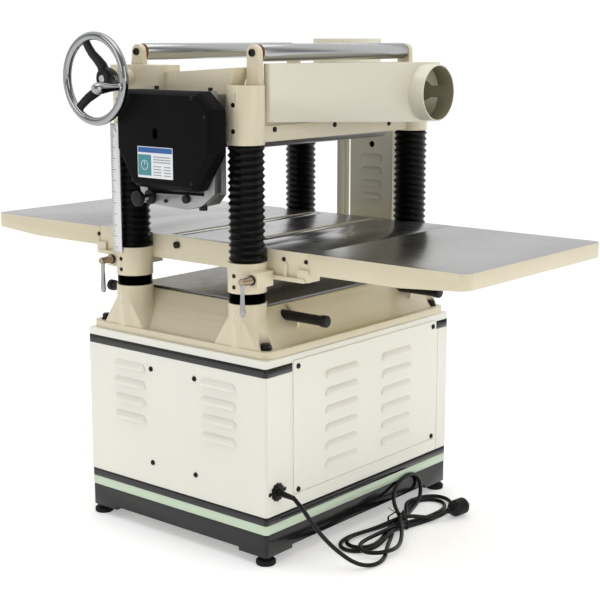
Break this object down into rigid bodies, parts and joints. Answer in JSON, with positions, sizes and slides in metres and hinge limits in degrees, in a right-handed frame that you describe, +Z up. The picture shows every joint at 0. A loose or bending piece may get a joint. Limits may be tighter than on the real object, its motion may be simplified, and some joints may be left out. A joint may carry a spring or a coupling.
{
  "type": "thickness planer",
  "caption": "Four-post thickness planer with a fixed cutting head, a table raised by a handwheel, a side gearbox, a dust port and a louvred stand.",
  "frame": {"origin": "on the floor, under the middle of the stand and of the whole machine", "axes": "+X toward the gearbox and handwheel side, +Y toward the outfeed and dust-hood side, +Z up"},
  "size_m": [1.003, 1.416, 1.129],
  "materials": {
    "stand_paint": "semi-gloss powder coat",
    "black_paint": "satin paint",
    "mint_paint": "semi-gloss stripe",
    "cream_paint": "semi-gloss enamel on castings",
    "foot_rubber": "matte",
    "black_oxide": "black oxide",
    "motor_paint": "semi-gloss",
    "machined_steel": "ground",
    "belt_rubber": "matte",
    "start_green": "gloss",
    "stop_red": "gloss",
    "blued_steel": "dark, oiled",
    "bellows_rubber": "matte pleated",
    "bronze": "machined",
    "chrome": "polished",
    "scale_aluminium": "brushed",
    "gearbox_metal": "bare casting",
    "knob_plastic": "fine texture",
    "cord_sheath": "satin sheath"
  },
  "bodies": {
    "frame": {"stand_cabinet": "stand_paint", "stand_plinth": "black_paint", "stand_feet": "foot_rubber", "stand_panels": "stand_paint", "stand_fasteners": "black_oxide", "trim_bands": "black_paint", "trim_stripe": "mint_paint", "motor": "motor_paint", "motor_mount": "black_paint", "drive_belts": "belt_rubber", "belt_guard_inner": "cream_paint", "belt_guard_outer": "cream_paint", "switch_box": "cream_paint", "base_casting": "cream_paint", "base_plate": "blued_steel", "columns": "machined_steel", "lift_chain": "blued_steel", "lower_bellows": "bellows_rubber", "upper_bellows": "bellows_rubber", "scale_strip": "scale_aluminium", "head_casting": "cream_paint", "chip_breaker": "machined_steel", "gearbox_housing": "gearbox_metal", "gearbox_cover": "black_paint", "roller_brackets": "cream_paint", "dust_hood": "cream_paint", "cord_inlet": "knob_plastic", "strain_relief": "knob_plastic", "power_cord": "cord_sheath", "cord_hank": "cord_sheath", "cord_tie": "knob_plastic", "cord_plug": "knob_plastic"},
    "motor_rotor": {"motor_pulley": "machined_steel"},
    "start_button": {"start_button": "start_green"},
    "stop_button": {"stop_button": "stop_red"},
    "leadscrew_a": {"leadscrew_a": "machined_steel"},
    "leadscrew_b": {"leadscrew_b": "machined_steel"},
    "leadscrew_c": {"leadscrew_c": "machined_steel"},
    "leadscrew_d": {"leadscrew_d": "machined_steel"},
    "lifting_bar_1": {"lifting_bar_1": "black_paint"},
    "lifting_bar_2": {"lifting_bar_2": "black_paint"},
    "lifting_bar_3": {"lifting_bar_3": "black_paint"},
    "lifting_bar_4": {"lifting_bar_4": "black_paint"},
    "table": {"table_casting": "cream_paint", "table_nuts": "bronze", "table_wings": "cream_paint", "table_screws": "black_oxide"},
    "bed_roller_infeed": {"bed_roller_infeed": "machined_steel"},
    "bed_roller_outfeed": {"bed_roller_outfeed": "machined_steel"},
    "lock_lever_infeed": {"lock_lever_infeed": "chrome"},
    "lock_lever_outfeed": {"lock_lever_outfeed": "chrome"},
    "cutterhead": {"cutterhead": "machined_steel"},
    "feed_roller_infeed": {"feed_roller_infeed": "machined_steel"},
    "feed_roller_outfeed": {"feed_roller_outfeed": "machined_steel"},
    "kickback_fingers": {"kickback_fingers": "machined_steel"},
    "shift_knob": {"shift_knob": "knob_plastic"},
    "return_roller_infeed": {"return_roller_infeed": "chrome"},
    "return_roller_outfeed": {"return_roller_outfeed": "chrome"},
    "handwheel": {"handwheel": "chrome"},
    "crank_grip": {"crank_grip": "chrome"}
  },
  "joints": [
    {"name": "table_lift", "type": "slide", "parent": "frame", "child": "table", "axis": [0, 0, 1], "range_m": [0, 0.195], "deforming": ["upper_bellows", "lower_bellows"]},
    {"name": "leadscrew_a_turn", "type": "hinge", "parent": "frame", "child": "leadscrew_a", "pos_m": [0.291, -0.1654, 0.5], "axis": [0, 0, 1], "range_deg": [0, 17550]},
    {"name": "leadscrew_b_turn", "type": "hinge", "parent": "frame", "child": "leadscrew_b", "pos_m": [0.291, 0.1814, 0.5], "axis": [0, 0, 1], "range_deg": [0, 17550]},
    {"name": "leadscrew_c_turn", "type": "hinge", "parent": "frame", "child": "leadscrew_c", "pos_m": [-0.303, 0.1814, 0.5], "axis": [0, 0, 1], "range_deg": [0, 17550]},
    {"name": "leadscrew_d_turn", "type": "hinge", "parent": "frame", "child": "leadscrew_d", "pos_m": [-0.303, -0.1654, 0.5], "axis": [0, 0, 1], "range_deg": [0, 17550]},
    {"name": "handwheel_turn", "type": "hinge", "parent": "frame", "child": "handwheel", "pos_m": [0.408, -0.14, 1.029], "axis": [1, 0, 0], "range_deg": [0, 35100]},
    {"name": "crank_grip_spin", "type": "hinge", "parent": "handwheel", "child": "crank_grip", "pos_m": [0.44, -0.05252, 1.01263], "axis": [1, 0, 0], "continuous": true},
    {"name": "cutterhead_spin", "type": "hinge", "parent": "frame", "child": "cutterhead", "pos_m": [-0.006, 0.02, 0.931], "axis": [1, 0, 0], "continuous": true},
    {"name": "motor_spin", "type": "hinge", "parent": "frame", "child": "motor_rotor", "pos_m": [-0.06, 0.03, 0.225], "axis": [1, 0, 0], "continuous": true},
    {"name": "feed_roller_infeed_spin", "type": "hinge", "parent": "frame", "child": "feed_roller_infeed", "pos_m": [-0.006, -0.075, 0.915], "axis": [1, 0, 0], "continuous": true},
    {"name": "bed_roller_infeed_spin", "type": "hinge", "parent": "table", "child": "bed_roller_infeed", "pos_m": [-0.006, -0.075, 0.6595], "axis": [1, 0, 0], "continuous": true},
    {"name": "feed_roller_outfeed_spin", "type": "hinge", "parent": "frame", "child": "feed_roller_outfeed", "pos_m": [-0.006, 0.115, 0.915], "axis": [1, 0, 0], "continuous": true},
    {"name": "bed_roller_outfeed_spin", "type": "hinge", "parent": "table", "child": "bed_roller_outfeed", "pos_m": [-0.006, 0.115, 0.6595], "axis": [1, 0, 0], "continuous": true},
    {"name": "return_roller_infeed_spin", "type": "hinge", "parent": "frame", "child": "return_roller_infeed", "pos_m": [-0.006, -0.1654, 1.085], "axis": [1, 0, 0], "continuous": true},
    {"name": "lock_lever_infeed_turn", "type": "hinge", "parent": "table", "child": "lock_lever_infeed", "pos_m": [0.322, -0.2064, 0.618], "axis": [1, 0, 0], "range_deg": [-45, 45]},
    {"name": "return_roller_outfeed_spin", "type": "hinge", "parent": "frame", "child": "return_roller_outfeed", "pos_m": [-0.006, 0.1814, 1.085], "axis": [1, 0, 0], "continuous": true},
    {"name": "lock_lever_outfeed_turn", "type": "hinge", "parent": "table", "child": "lock_lever_outfeed", "pos_m": [0.322, 0.2224, 0.618], "axis": [1, 0, 0], "range_deg": [-45, 45]},
    {"name": "kickback_fingers_swing", "type": "hinge", "parent": "frame", "child": "kickback_fingers", "pos_m": [-0.006, -0.143, 0.962], "axis": [1, 0, 0], "range_deg": [0, 20]},
    {"name": "shift_knob_slide", "type": "slide", "parent": "frame", "child": "shift_knob", "axis": [1, 0, 0], "range_m": [-0.012, 0.012]},
    {"name": "start_button_press", "type": "slide", "parent": "frame", "child": "start_button", "axis": [0, 1, 0], "range_m": [0, 0.004]},
    {"name": "stop_button_press", "type": "slide", "parent": "frame", "child": "stop_button", "axis": [0, 1, 0], "range_m": [0, 0.0035]},
    {"name": "lifting_bar_1_slide", "type": "slide", "parent": "frame", "child": "lifting_bar_1", "axis": [0, 1, 0], "range_m": [-0.07, 0]},
    {"name": "lifting_bar_2_slide", "type": "slide", "parent": "frame", "child": "lifting_bar_2", "axis": [0, 1, 0], "range_m": [-0.07, 0]},
    {"name": "lifting_bar_3_slide", "type": "slide", "parent": "frame", "child": "lifting_bar_3", "axis": [0, -1, 0], "range_m": [-0.07, 0]},
    {"name": "lifting_bar_4_slide", "type": "slide", "parent": "frame", "child": "lifting_bar_4", "axis": [0, -1, 0], "range_m": [-0.07, 0]}
  ],
  "couplings": [
    {"joint": "leadscrew_a_turn", "follows": "table_lift", "rad_per_m": 1570.8},
    {"joint": "leadscrew_b_turn", "follows": "table_lift", "rad_per_m": 1570.8},
    {"joint": "leadscrew_c_turn", "follows": "table_lift", "rad_per_m": 1570.8},
    {"joint": "leadscrew_d_turn", "follows": "table_lift", "rad_per_m": 1570.8},
    {"joint": "handwheel_turn", "follows": "table_lift", "rad_per_m": 3141.6},
    {"joint": "motor_spin", "follows": "cutterhead_spin", "ratio": 0.84},
    {"joint": "feed_roller_infeed_spin", "follows": "cutterhead_spin", "ratio": -0.006},
    {"joint": "feed_roller_outfeed_spin", "follows": "cutterhead_spin", "ratio": -0.006}
  ]
}
